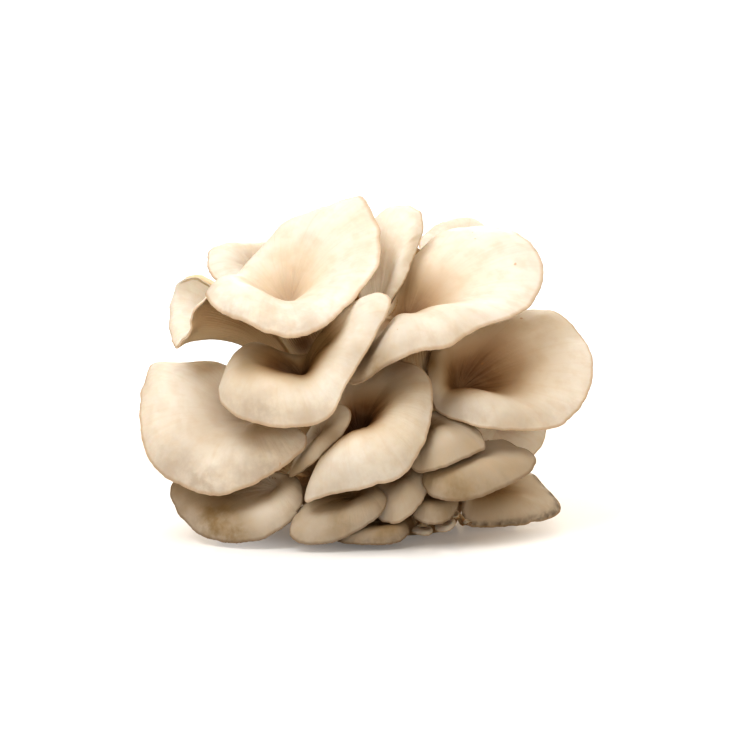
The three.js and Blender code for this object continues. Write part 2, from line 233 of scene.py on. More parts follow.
def ring_mesh(name, start, grid, end, attributes):
    """A closed smooth mesh through rows of points, with a point at each end, in millimetres.

    An attribute is its values over the grid, then its value at the start and at the end."""
    rows, cols = grid.shape[:2]
    vertices = np.concatenate([start[None], grid.reshape(-1, 3), end[None]]) * MM
    last = len(vertices) - 1
    j = np.arange(cols)
    k = (j + 1) % cols
    first = np.stack([np.zeros(cols, int), 1 + j, 1 + k], 1)
    base = 1 + np.arange(rows - 1)[:, None] * cols
    quads = np.stack([base + j, base + cols + j, base + cols + k, base + k], -1).reshape(-1, 4)
    last_row = 1 + (rows - 1) * cols
    final = np.stack([np.full(cols, last), last_row + k, last_row + j], 1)
    loops = np.concatenate([first.ravel(), quads.ravel(), final.ravel()])
    sizes = np.concatenate([np.full(cols, 3), np.full(len(quads), 4), np.full(cols, 3)])
    starts = np.concatenate([[0], np.cumsum(sizes)[:-1]])
    mesh = bpy.data.meshes.new(name)
    mesh.vertices.add(len(vertices))
    mesh.vertices.foreach_set("co", vertices.ravel())
    mesh.loops.add(len(loops))
    mesh.loops.foreach_set("vertex_index", loops.astype(np.int32))
    mesh.polygons.add(len(sizes))
    mesh.polygons.foreach_set("loop_start", starts.astype(np.int32))
    mesh.polygons.foreach_set("loop_total", sizes.astype(np.int32))
    mesh.polygons.foreach_set("use_smooth", np.ones(len(sizes), bool))
    mesh.update(calc_edges=True)
    mesh.validate()
    for key, (values, at_start, at_end) in attributes.items():
        vector = values.ndim == 3
        layer = mesh.attributes.new(key, "FLOAT_VECTOR" if vector else "FLOAT", "POINT")
        full = np.concatenate([np.ravel(at_start), values.ravel(), np.ravel(at_end)])
        layer.data.foreach_set("vector" if vector else "value", full)
    obj = bpy.data.objects.new(name, mesh)
    bpy.context.collection.objects.link(obj)
    return obj


# ---- Materials ------------------------------------------------------------------------------

class Nodes:
    """A short way to write the node tree of a material or world."""

    def __init__(self, owner):
        owner.use_nodes = True
        self.tree = owner.node_tree
        self.tree.nodes.clear()

    def add(self, kind, **values):
        node = self.tree.nodes.new("ShaderNode" + kind)
        for key, value in values.items():
            setattr(node, key, value)
        return node

    def put(self, socket, value):
        """Links a socket to the value, or sets it."""
        if isinstance(value, bpy.types.NodeSocket):
            self.tree.links.new(value, socket)
        else:
            socket.default_value = value

    def put_all(self, node, **values):
        """Links or sets a node's inputs, each named with _ for its spaces."""
        for key, value in values.items():
            self.put(node.inputs[key.replace("_", " ")], value)
        return node.outputs[0]

    def attribute(self, name, output="Fac"):
        return self.add("Attribute", attribute_name=name).outputs[output]

    def math(self, operation, a, b):
        node = self.add("Math", operation=operation)
        self.put(node.inputs[0], a)
        self.put(node.inputs[1], b)
        return node.outputs[0]

    def ramp(self, value, low, high, a=0.0, b=1.0):
        """From a, where the value is low, smoothly to b, where it is high."""
        node = self.add("MapRange", interpolation_type="SMOOTHSTEP")
        return self.put_all(node, Value=value, From_Min=low, From_Max=high, To_Min=a, To_Max=b)

    def noise(self, vector, scale, detail=3.0, roughness=0.5):
        node = self.add("TexNoise")
        self.put_all(node, Vector=vector, Scale=scale, Detail=detail, Roughness=roughness)
        return node.outputs["Fac"]

    def mix(self, factor, a, b):
        """Colour a, or b as far as the factor goes, which the node holds between 0 and 1."""
        node = self.add("Mix", data_type="RGBA")
        self.put(node.inputs["Factor"], factor)
        for socket, value in ((node.inputs[6], a), (node.inputs[7], b)):
            self.put(socket, (*value, 1.0) if isinstance(value, tuple) else value)
        return node.outputs[2]

    def layer(self, under, colour, *factors):
        """A colour laid over another, as strongly as the factors' product."""
        strength = factors[0]
        for factor in factors[1:]:
            strength = self.math("MULTIPLY", strength, factor)
        return self.mix(strength, under, colour)

    def finish(self, surface, kind="OutputMaterial"):
        self.put(self.add(kind).inputs["Surface"], surface)

    def flesh(self, colour, relief, relief_depth, **values):
        """Ends the tree in a soft matte flesh that scatters light; relief_depth is in metres."""
        bump = self.put_all(self.add("Bump"), Strength=RELIEF_STRENGTH, Distance=relief_depth,
                            Height=relief)
        self.finish(self.put_all(self.add("BsdfPrincipled"), Base_Color=colour, Normal=bump,
                                 Subsurface_Radius=SCATTER_RADIUS, **values))


RELIEF_STRENGTH = 0.6
SCATTER_RADIUS = (1.0, 0.55, 0.3)  # red light goes farthest in the flesh

# Colours in linear light. The skin's, from the pale ground to what lies over it:
CREAM, WARM_CREAM = (0.94, 0.92, 0.87), (0.905, 0.845, 0.745)
# The hollow's browns are partly its own colour and partly painted shade; the throat's is painted
# shade.
HOLLOW_OUTER, HOLLOW_INNER_SHADE, THROAT_SHADE = (0.73, 0.56, 0.34), (0.31, 0.15, 0.055), (0.12, 0.05, 0.018)
OLIVE_BROWN = (0.32, 0.235, 0.125)
STREAK, STAIN, SPECK = (0.66, 0.5, 0.33), (0.62, 0.47, 0.31), (0.55, 0.3, 0.12)
GREY_PATCH, FRINGE = (0.60, 0.54, 0.47), (0.16, 0.125, 0.095)
EDGE, DARK_EDGE = (0.54, 0.37, 0.21), (0.22, 0.145, 0.085)
# The gills', the stem's, and the painted shade laid over both under the caps.
GILL_VALLEY_SHADE, GILL_RIDGE, GILL_STAIN = (0.45, 0.27, 0.125), (0.90, 0.755, 0.545), (0.70, 0.55, 0.37)
STEM_PALE, STEM_FIBRE, STEM_END = (0.83, 0.72, 0.545), (0.66, 0.51, 0.33), (0.50, 0.36, 0.21)
PAINTED_SHADE_UNDER = (0.20, 0.085, 0.03)
# The foot's side and its cut face.
FOOT_PALE, FOOT_BROWN, FOOT_STAIN = (0.72, 0.58, 0.39), (0.47, 0.33, 0.19), (0.38, 0.26, 0.15)
CUT_PALE, CUT_BROWN = (0.80, 0.69, 0.52), (0.66, 0.52, 0.35)


def mushroom_material():
    """The flesh of every mushroom. It reads these attributes of the mesh:

    rad    0 in the middle of the hollow, 1 at the margin
    zone   0 on the skin, 1 on the gills, 2 on the stem, 3 at the foot
    gill   1 on a ridge, 0 in the valley beside it
    grey, warm, deep, fringe   how strong the grey patches, the olive
       brown, the brown of the hollow and the dark grains of the margin are, the first three partly
       painted shade
    fibre  a place that runs slowly along the radius and fast across it"""
    material = bpy.data.materials.new("mushroom_flesh")
    n = Nodes(material)
    here = n.add("TexCoord").outputs["Object"]
    rad, zone, gill, grey, deep, warm, fringe = (
        n.attribute(name) for name in ("rad", "zone", "gill", "grey", "deep", "warm", "fringe"))
    broad = n.noise(here, 28.0)
    patch = n.noise(here, 75.0, 5.0, 0.6)
    fine = n.noise(here, 170.0, 4.0)
    speck = n.noise(here, 240.0, 1.0)
    grain = n.noise(here, 420.0, 2.0)
    pores = n.noise(here, 900.0, 2.0)
    streaks = n.noise(n.attribute("fibre", "Vector"), 1.0, 4.0, 0.6)

    # Cap skin: cream, browner down in the hollow, partly its own colour and partly painted shade
    # that goes near black in the throat, with faint fibres along the radius.
    skin = n.mix(n.ramp(broad, 0.35, 0.7), CREAM, WARM_CREAM)
    skin = n.layer(skin, HOLLOW_OUTER, n.ramp(rad, 0.82, 0.3), deep, 0.85)
    skin = n.layer(skin, HOLLOW_INNER_SHADE, n.ramp(rad, 0.64, 0.2), deep)
    skin = n.layer(skin, THROAT_SHADE, n.ramp(rad, 0.42, 0.1), deep, deep)
    # Painted shade: the olive brown also carries the painted shade patches, so it darkens skin
    # where shade falls.
    skin = n.layer(skin, OLIVE_BROWN, warm, n.ramp(broad, 0.25, 0.75, 0.7, 1.0))
    skin = n.layer(skin, STREAK, n.ramp(streaks, 0.45, 0.75), 0.13)
    skin = n.layer(skin, GREY_PATCH, n.ramp(patch, 0.3, 0.68), n.ramp(rad, 0.45, 0.95), grey)
    skin = n.layer(skin, STAIN, n.ramp(fine, 0.42, 0.72), 0.18)
    skin = n.layer(skin, SPECK, n.ramp(speck, 0.8, 0.84), 0.5)
    skin = n.layer(skin, FRINGE, fringe, n.ramp(grain, 0.3, 0.6, 0.45, 1.0))
    edge = n.mix(n.ramp(warm, 0.15, 0.8), EDGE, DARK_EDGE)
    skin = n.layer(skin, edge, n.ramp(rad, 0.975, 1.0), 0.5)

    # Gill side: pale ridges over valleys darkened as painted shade between the ridges.
    gills = n.mix(n.ramp(gill, 0.0, 0.85), GILL_VALLEY_SHADE, GILL_RIDGE)
    gills = n.layer(gills, GILL_STAIN, n.ramp(broad, 0.3, 0.7), 0.25)
    # Stem: pale fibres that darken towards the foot.
    stem = n.mix(n.ramp(streaks, 0.35, 0.7), STEM_PALE, STEM_FIBRE)
    stem = n.layer(stem, STEM_END, n.ramp(zone, 2.3, 3.0, 0.0, 0.6))
    under = n.mix(n.ramp(zone, 1.15, 1.95), gills, stem)
    # Painted shade: the gill side and stem go dark brown as far as the olive and shade value goes.
    under = n.layer(under, PAINTED_SHADE_UNDER, n.ramp(warm, 0.3, 1.2, 0.0, 0.85))

    relief = n.math("ADD", n.math("MULTIPLY", fine, 0.5), n.math("MULTIPLY", streaks, 0.5))
    relief = n.math("ADD", relief, n.math("MULTIPLY", pores, 0.16))
    n.flesh(n.mix(n.ramp(zone, 0.25, 0.75), skin, under), relief, 0.0005,
            Roughness=n.ramp(fine, 0.3, 0.7, 0.52, 0.66), Specular_IOR_Level=0.35,
            Subsurface_Weight=0.12, Subsurface_Scale=0.0025)
    return material


def foot_material():
    """The flesh of the foot. The attribute cut is 1 on its cut face, and 0 elsewhere."""
    material = bpy.data.materials.new("foot_flesh")
    n = Nodes(material)
    here = n.add("TexCoord").outputs["Object"]
    broad = n.noise(here, 45.0, 4.0, 0.6)
    fine = n.noise(here, 260.0, 4.0, 0.6)
    side = n.mix(n.ramp(broad, 0.35, 0.68), FOOT_PALE, FOOT_BROWN)
    side = n.layer(side, FOOT_STAIN, n.ramp(fine, 0.4, 0.7), 0.35)
    face = n.mix(n.ramp(fine, 0.3, 0.7), CUT_PALE, CUT_BROWN)
    relief = n.math("ADD", broad, n.math("MULTIPLY", fine, 0.5))
    n.flesh(n.mix(n.attribute("cut"), side, face), relief, 0.001,
            Roughness=0.75, Specular_IOR_Level=0.25,
            Subsurface_Weight=0.1, Subsurface_Scale=0.003)
    return material


FLESH = mushroom_material()
FOOT = foot_material()

# ---- How each mushroom looks ----------------------------------------------------------------

# The divisions that the CAD gives a mushroom of so many sectors: where along the radius its skin
# rings and its gill rings lie, the middle of the hollow at 0 and the margin at 1.
RINGS = {
    20: ([0.13, 0.28, 0.43, 0.57, 0.7, 0.82, 0.92, 1], [1, 0.9, 0.77, 0.62, 0.46]),
    14: ([0.2, 0.42, 0.62, 0.82, 1], [1, 0.78, 0.54]),
    10: ([0.35, 0.7, 1], [1, 0.7]),
}

# For each size: columns, rows of skin, rows of gill side and stem, and how deep the gills are.
FINE = {
    "large": (540, 27, 30, 1.1),
    "mid": (270, 22, 22, 0.85),
    "small": (150, 18, 16, 0.5),
    "tiny": (60, 10, 12, 0.15),
}

# For each mushroom: its size, greyness of its patches, olive warmth of its skin with painted
# shade, brown and painted shade of its hollow, waves of its margin in mm, and darkness of its
# fringe.
LOOKS = {
    "top_funnel_mushroom": ("large", 0.9, 0.0, 0.42, 0.8, 0.0),
    "back_left_top_mushroom": ("mid", 0.2, 0.1, 0.12, 0.6, 0.0),
    "left_trumpet_mushroom": ("large", 0.15, 0.0, 0.1, 1.0, 0.0),
    "folded_lip_mushroom": ("large", 0.6, 0.1, 1.05, 0.6, 0.0),
    "left_fan_mushroom": ("large", 0.6, 0.1, 0.25, 0.9, 0.0),
    "low_left_mushroom": ("mid", 0.6, 0.8, 0.15, 0.7, 0.2),
    "narrow_fold_mushroom": ("small", 0.2, 0.25, 0.3, 0.3, 0.0),
    "centre_funnel_mushroom": ("large", 0.4, 0.12, 1.1, 0.7, 0.1),
    "top_blade_mushroom": ("mid", 0.3, 0.0, 0.0, 0.5, 0.0),
    "top_right_mushroom": ("large", 0.7, 0.0, 0.72, 0.8, 0.0),
    "right_funnel_mushroom": ("large", 0.6, 0.12, 0.78, 0.8, 0.0),
    "back_top_right_mushroom": ("mid", 0.2, 0.12, 0.4, 0.5, 0.0),
    "mid_right_mushroom": ("small", 0.5, 0.7, 0.4, 0.4, 0.0),
    "low_right_mushroom": ("mid", 0.6, 0.72, 0.5, 0.6, 0.1),
    "back_right_mushroom": ("small", 0.1, 0.0, 0.1, 0.4, 0.0),
    "bottom_right_mushroom": ("mid", 0.4, 0.15, 1.0, 0.6, 0.8),
    "bottom_left_mushroom": ("small", 0.9, 0.8, 0.7, 0.4, 0.15),
    "bottom_round_mushroom": ("small", 0.5, 0.45, 0.4, 0.3, 0.0),
    "bottom_small_mushroom": ("small", 1.0, 1.0, 0.3, 0.3, 0.5),
    "bottom_button_mushroom": ("small", 0.9, 0.85, 0.2, 0.3, 0.0),
    "first_tiny_mushroom": ("tiny", 0.2, 0.1, 0.1, 0.1, 0.0),
    "second_tiny_mushroom": ("tiny", 0.2, 0.1, 0.1, 0.1, 0.0),
    "third_tiny_mushroom": ("tiny", 0.2, 0.1, 0.1, 0.1, 0.0),
    "pin_mushroom": ("tiny", 0.0, 0.2, 0.0, 0.0, 0.0),
}
OTHER_LOOKS = ("mid", 0.5, 0.15, 0.6, 0.7, 0.0)

# Mushrooms whose gills are fine and shallow: how deep they are, and how dark their valleys.
SHALLOW = {"left_trumpet_mushroom": (0.5, 0.35)}

# Corners and notches of a margin: a place in mm, how wide, and how far out, or in if negative.
CORNERS = {
    "top_funnel_mushroom": [((-12, 5, 145), 3.5, 2.2), ((-21, 9, 141), 4.5, -1.8),
                            ((-4, -8, 133), 4, 1.2)],
    "top_blade_mushroom": [((15, 16, 137), 2.5, 1.4), ((-3, 22, 136), 3.5, -1.2)],
    "left_fan_mushroom": [((-103, -5, 72), 3.5, 1.5), ((-107, -14, 66), 4, -1.2)],
    "left_trumpet_mushroom": [((-83, -26, 97), 3, 1.2), ((-76, -10, 105), 4, -1.4)],
    "back_left_top_mushroom": [((-79, 34, 119), 3, 1.0), ((-68, 44, 121), 4, -0.9)],
    "centre_funnel_mushroom": [((-33, -62, 23), 3.5, 1.2)],
    "mid_right_mushroom": [((41, -44, 43), 2.5, 1.5)],
}

# Painted shade and painted light on the skin: a place in mm along x and z, how wide, and how much
# warmer and darker, lighter where the amount is negative.
PAINTED_SHADES = {
    "top_funnel_mushroom": [((-36, 82), 7, 1.0), ((-76, 101), 8, 0.22), ((-66, 93), 8, 0.1)],
    "top_right_mushroom": [((-6, 77), 11, 1.15), ((6, 89), 10, 0.25), ((30, 93), 12, 0.16),
                           ((66, 122), 12, 0.12), ((9, 107), 9, 0.7)],
    "narrow_fold_mushroom": [((-38, 32), 8, 0.7), ((-24, 49), 6, 0.5)],
    "low_right_mushroom": [((27, 25), 12, 0.35)],
    "left_fan_mushroom": [((-92, 34), 11, 0.42), ((-78, 45), 10, 0.15), ((-60, 52), 8, 0.2)],
    "centre_funnel_mushroom": [((-27, 27), 12, 0.25), ((3, 74), 13, 0.6)],
    "folded_lip_mushroom": [((-59, 80), 7, 0.75), ((-46, 85), 8, 0.7), ((-36, 80), 7, 0.95),
                            ((-28, 88), 7, 0.9), ((-16, 82), 9, 0.15)],
    "right_funnel_mushroom": [((19, 75), 7, 0.9), ((22, 62), 11, 0.35), ((52, 55), 11, 0.3),
                              ((59, 93), 10, -0.3)],
    "bottom_left_mushroom": [((-20, 13), 7, 0.4)],
    "bottom_right_mushroom": [((46, 17), 13, 0.6)],
    "low_left_mushroom": [((-68, 9), 10, 0.75), ((-51, 22), 12, -0.6)],
}

# Greyer patches of skin, likewise, partly grey skin and partly painted shade.
GREYS_AND_SHADES = {
    "left_fan_mushroom": [((-88, 33), 10, 0.7), ((-76, 25), 9, 0.5), ((-52, 32), 9, 0.45),
                          ((-103, 68), 6, 0.6)],
    "top_funnel_mushroom": [((-76, 101), 9, 0.5), ((-60, 94), 8, 0.3)],
    "folded_lip_mushroom": [((-52, 62), 9, 0.35), ((-10, 83), 8, 0.4)],
    "low_left_mushroom": [((-80, 8), 9, 0.6), ((-64, -1), 9, 0.5)],
    "right_funnel_mushroom": [((40, 60), 9, 0.3)],
}

# A power of the radius that spreads the brown and painted shade of a hollow up from its throat if
# above 1, and draws it down if below.
SPREAD = {
    "top_funnel_mushroom": 0.75,
    "right_funnel_mushroom": 1.4,
    "folded_lip_mushroom": 1.3,
    "centre_funnel_mushroom": 1.25,
}

# ---- One mushroom ---------------------------------------------------------------------------

NOISE_STEP = np.array((37.0, 11.0, 5.0))  # from one mushroom's place in the noise to the next's
RIM_ROWS = 6
MARGIN_THICKNESS = 0.62  # of the plain solid's
NECK_SHARE = 0.3         # the radius at the neck, where the gills have run out
MARGIN_BAND = (0.68, 1.0)  # the part of the radius that moves with the margin
ROOM_SHARE, ROOM_KEPT = 0.45, 0.1  # of the gap to the next solid that the skin may use, less mm
CLOSE_GAP, DRAW_BACK = 1.1, 0.6    # below this gap in mm the skin draws back by a share of it
GILL_WIDTH = 3                     # columns from one ridge to the next
GILL_STOPS = np.array([0.0, 0.76, 0.55, 0.76])  # the radius where the ridges of each rank stop
ROOT_MOVES = (0.5, 1.6, 2.0)  # how far the stem's last rows and its end run into the foot, in mm


class Mushroom:
    """One mushroom's grid of rows by columns, from the plain solid to the dressed piece."""

    def __init__(self, node, index):
        self.node = node
        (self.size, self.grey, self.warm, self.deep, self.wave,
         self.fringe) = LOOKS.get(node, OTHER_LOOKS)
        self.cols, self.skin_rows, self.under_rows, self.gill_depth = FINE[self.size]
        self.offset = NOISE_STEP * index
        angle = np.arange(self.cols) * 2 * math.pi / self.cols
        self.circle = np.stack([np.cos(angle), np.sin(angle), np.zeros(self.cols)], 1)
        self.refine()
        self.plain = self.grid
        self.normal = grid_normals(self.grid)
        self.wave_margin()
        self.add_lumps()
        self.widen_stem()
        self.keep_room()
        self.cut_gills()
        self.push_into_foot()

    def wobble(self, waves):
        """Noise around the margin, with more or fewer waves."""
        return noise(self.circle * waves + self.offset)

    def refine(self):
        """Reads the rings and refines them to rows of skin, rounded margin, gill side and stem."""
        points, _ = SOLIDS[self.node]
        farthest = points[np.argmax(np.linalg.norm(points - FOOT_MIDDLE, axis=1))]
        self.pole, rings, self.end = read_rings(self.node, farthest)
        if np.linalg.norm(self.pole - FOOT_MIDDLE) < np.linalg.norm(self.end - FOOT_MIDDLE):
            raise ValueError(f"{self.node}: its hollow is nearer to the foot than its stem's end")
        skin_shares, gill_shares = RINGS[rings.shape[1]]
        skin = around(rings[:len(skin_shares)], self.cols)
        under = around(rings[len(skin_shares):], self.cols)

        # Rows of skin lie a little closer towards the margin.
        skin_share = 1 - (1 - np.linspace(0.02, 1, self.skin_rows)) ** 1.15
        self.top = along(*over_the_pole(self.pole, skin, skin_shares), skin_share)

        # The gill side and the stem, where down is how far each row is from the margin.
        under[0] = skin[-1] + (under[0] - skin[-1]) * MARGIN_THICKNESS
        steps = np.linalg.norm(np.diff(under, axis=0), axis=2).mean(1)
        run = np.concatenate([[0], np.cumsum(steps)])
        self.neck, self.length = run[len(gill_shares)], run[-1]
        self.down = np.linspace(0, 1, self.under_rows + 1)[1:] * self.length
        low = along(run, under, self.down)
        self.under_share = np.interp(self.down, run[:len(gill_shares) + 1],
                                     [*gill_shares, NECK_SHARE])

        # A rounded edge joins the two.
        tip, lip = self.top[-1], under[0]
        middle, half = (tip + lip) / 2, (tip - lip) / 2
        outward = unit(tip - self.top[-2]) * np.linalg.norm(half, axis=1, keepdims=True)
        turns = np.linspace(0, math.pi, RIM_ROWS + 1)[1:]
        rim = np.array([middle + half * math.cos(a) + outward * math.sin(a) for a in turns])

        self.grid = np.concatenate([self.top, rim, low])
        self.rim_end = self.skin_rows + RIM_ROWS
        self.share = np.concatenate([skin_share, np.ones(RIM_ROWS), self.under_share])

    def part_of_stem(self, share):
        """How far from the margin a place is that lies so far down the stem below the neck."""
        return self.neck + (self.length - self.neck) * share

    def wave_margin(self):
        """The margin waves and is a little ragged, and the whole edge moves together."""
        waves = self.wobble(2.2) * self.wave + self.wobble(5.5) * self.wave * 0.45
        ragged = self.wobble(4) * 0.7 + self.wobble(11) * 0.3
        crinkled = 1 + noise(self.circle * 3 - self.offset)
        ragged = ragged + self.wobble(31) * 0.13 * crinkled
        ragged *= min(1.0, self.wave + 0.2)
        for corner in CORNERS.get(self.node, ()):
            ragged = ragged + spot(self.top[-1], *corner)
        out = unit(self.top[-1] - self.top[-3])
        move = self.normal[self.skin_rows - 3] * waves[:, None] + out * ragged[:, None]
        weight = smooth(self.share, *MARGIN_BAND)
        self.grid = self.grid + weight[:, None, None] * move[None]

    def add_lumps(self):
        """Gentle unevenness all over, and soft folds that run down into the hollow."""
        if self.size == "tiny":
            return
        share = self.share[:, None]
        lumps = (noise(self.grid / 21 + self.offset) * 0.75
                 + noise(self.grid / 8.5 + self.offset) * 0.24)
        folds = noise(self.circle[None] * 4.5 + self.offset + share[..., None] * 0.8)
        folds = folds * (smooth(share, 0.02, 0.2) * fading(share, 0.35, 0.75)) * 0.34
        folds[self.skin_rows:] = 0
        # The gill side follows the skin near the margin, so that the flesh stays as thick there.
        side = np.concatenate([np.ones(self.rim_end), 1 - 2 * smooth(self.under_share, 0.4, 0.6)])
        way = self.normal * side[:, None, None]
        way[self.skin_rows:self.rim_end] = self.normal[self.skin_rows - 1]
        scale = 0.6 if self.size == "small" else 1.0
        self.grid = self.grid + way * ((lumps + folds) * scale)[..., None]

    def widen_stem(self):
        """The stem widens where it grows from the foot."""
        down_stem = smooth(self.down, self.neck * 0.8, self.length)
        swell = np.concatenate([np.zeros(self.rim_end), smooth(down_stem, 0.72, 1.0) * 0.28])
        centre = self.grid.mean(1, keepdims=True)
        self.grid = centre + (self.grid - centre) * (1 + swell[:, None, None])

    def keep_room(self):
        """No point moves more than its share of the gap to the next mushroom."""
        gap = gaps(tree_without(self.node), self.plain)
        room = np.maximum(gap * ROOM_SHARE - ROOM_KEPT, 0)
        move = self.grid - self.plain
        length = np.linalg.norm(move, axis=2) + 1e-9
        self.grid = self.plain + move * np.minimum(1, room / length)[..., None]
        # Where the gap is about a millimetre or less, the skin draws back a little.
        back = np.maximum(CLOSE_GAP - gap, 0) * DRAW_BACK
        self.grid = self.grid - self.normal * back[..., None]

    def cut_gills(self):
        """One gill in four runs from the margin to the stem, and the others stop on the way."""
        deepest, shade = SHALLOW.get(self.node, (self.gill_depth, 1.0))
        column = np.arange(self.cols)
        rank = column // GILL_WIDTH % len(GILL_STOPS)
        ridge = np.where(column % GILL_WIDTH == 0, 1.0, 0.0)
        share, down = self.under_share[:, None], self.down[:, None]
        stop = GILL_STOPS[rank]
        height = ridge * np.where(rank == 0, 1.0, smooth(share, stop, stop + 0.1))
        strength = fading(share, 0.88, 0.985)
        strength = strength * (1 - smooth(down, self.neck * 0.9, self.part_of_stem(0.45)))
        depth = np.zeros(self.grid.shape[:2])
        depth[self.rim_end:] = (1 - height) * deepest * strength
        self.gill = np.ones(self.grid.shape[:2])
        self.gill[self.rim_end:] = 1 - (1 - height) * strength * shade
        self.grid = self.grid - self.normal * depth[..., None]

    def push_into_foot(self):
        """The stem runs a little way into the foot."""
        inward = unit(FOOT_MIDDLE - self.end)
        self.grid[-2] += inward * ROOT_MOVES[0]
        self.grid[-1] += inward * ROOT_MOVES[1]
        self.end = self.end + inward * ROOT_MOVES[2]

    def zones(self):
        """0 on the skin, 1 on the gills, 2 on the stem and 3 at the foot, a value a row."""
        under = 1 + smooth(self.down, self.neck * 0.85, self.part_of_stem(0.5))
        under = under + smooth(self.down, self.part_of_stem(0.5), self.length)
        return np.concatenate([np.zeros(self.skin_rows), np.linspace(0, 0.6, RIM_ROWS), under])

    def fibres(self):
        """Places in the noise that run slowly along the radius and fast across it."""
        fibre = self.circle[None] * (13 if self.size == "large" else 9) + self.offset
        fibre = np.broadcast_to(fibre, self.grid.shape).copy()
        skin = self.share[:self.rim_end] * 2.2
        fibre[..., 2] += np.concatenate([skin, 2.2 + self.down / 30])[:, None]
        return fibre

    def attributes(self):
        """What the material reads: each value over the grid, at its start and at its end."""
        ones = np.ones(self.grid.shape[:2])
        share = self.share[:, None]
        # The lower lips are greyer than the parts that stand up, partly painted shade, and some
        # margins are fringed.
        low_part = smooth(self.pole[2] - self.grid[..., 2], -8, 12)
        grey = self.grey * (0.25 + 0.75 * low_part)
        warm = self.warm * ones
        front = self.grid[..., ::2]
        # Painted shade: the patches below darken the skin by place, and lighten it where negative.
        for patch in PAINTED_SHADES.get(self.node, ()):
            warm = warm + spot(front, *patch)
        for patch in GREYS_AND_SHADES.get(self.node, ()):
            grey = grey + spot(front, *patch)
        uneven = 0.8 + 0.5 * noise(self.circle * 6 - self.offset)[None]
        return {
            "rad": (share ** SPREAD.get(self.node, 1.0) * ones, 0.0, 0.3),
            "zone": (self.zones()[:, None] * ones, 0.0, 3.0),
            "gill": (self.gill, 1.0, 1.0),
            "grey": (grey, self.grey, self.grey),
            "fringe": (np.clip(self.fringe * smooth(share, 0.87, 0.98) * uneven, 0, 1), 0.0, 0.0),
            "warm": (warm, self.warm, self.warm),
            "deep": (self.deep * ones, self.deep, self.deep),
            "fibre": (self.fibres(), self.offset, self.offset),
        }

    def make(self):
        piece = ring_mesh(self.node + "_live", self.pole, self.grid, self.end, self.attributes())
        piece.data.materials.append(FLESH)
        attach(piece, "root")
        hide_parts(self.node)


# ---- The foot -------------------------------------------------------------------------------

FOOT_COLUMNS, FOOT_ROWS = 160, 60
# Where the CAD's rings of the foot lie, in degrees from its top, and its cut edge after them.
FOOT_RINGS = (18.0, 34.0, 50.0, 66.0, 80.0, 90.0, 108.0)
CUT_SHARES = (1.0, 0.97, 0.9, 0.75, 0.5, 0.25)
ABOVE_FOOT = (0, 0, 100)


def dress_foot():
    """The fused foot: lumpy flesh with a flat, fibrous cut face."""
    pole, rings, end = read_rings(FOOT_NODE, ABOVE_FOOT)
    fine = around(rings, FOOT_COLUMNS)
    turns = np.linspace(2, 107, FOOT_ROWS)
    side = along(*over_the_pole(pole, fine, FOOT_RINGS), turns)
    face = np.array([fine[-1] * share for share in CUT_SHARES])
    grid = np.concatenate([side, face])
    lumps = noise(grid / 13) * 1.6 + noise(grid / 5) * 0.7 + noise(grid / 2.1) * 0.25
    fade = np.concatenate([fading(turns, 88, 106), np.zeros(len(face))])
    grid = grid + grid_normals(grid) * ((lumps + 0.3) * fade[:, None])[..., None]
    grid[:, :, 2] = np.maximum(grid[:, :, 2], 0.0)
    cut = np.repeat([0.0, 1.0], [FOOT_ROWS, len(face)])[:, None] * np.ones(FOOT_COLUMNS)
    piece = ring_mesh("foot_live", pole, grid, end, {"cut": (cut, 0.0, 1.0)})
    piece.data.materials.append(FOOT)
    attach(piece, "root")
    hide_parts("fused_foot")


# ---- Young pins -----------------------------------------------------------------------------

PIN_COUNT, PIN_TRIES = 44, 6000
PIN_FIELD_MIDDLE = np.array((-1.0, 8.0, 12.0))  # pins start on this ellipsoid, inside the foot
PIN_FIELD_RADII = np.array((37.0, 31.0, 36.0))
PIN_SIDES = 16
PIN_LOWEST = 3  # the least height of a tip over the floor, in mm
PIN_CLEAR, PIN_CLEAR_BY_SIZE = 2.2, 3.0  # free of the mushrooms by this, in mm
PIN_SPACING = 2.9  # and of each other by this for the sum of their sizes
PIN_HEIGHT = 7.5  # of a pin of size 1, in mm, as is all that follows
# Height and radius of each ring, with its rad and its zone for the material: the dome of the
# small cap, its underside and the stem.
PIN_ROWS = np.array((
    (7.5, 0.35, 0.1, 0), (7.35, 1.0, 0.4, 0), (6.9, 1.7, 0.7, 0), (6.1, 2.1, 0.95, 0),
    (5.5, 2.05, 1, 0.3), (5.3, 1.6, 0.9, 1.0), (5.2, 1.05, 0.6, 1.3), (4.2, 0.85, 0.5, 2),
    (2.6, 0.85, 0.4, 2.1), (1.0, 1.1, 0.3, 2.3), (-0.4, 1.7, 0.3, 2.6), (-1.2, 1.9, 0.3, 3.0),
))
PIN_GREY, PIN_WARM = 0.3, 0.25


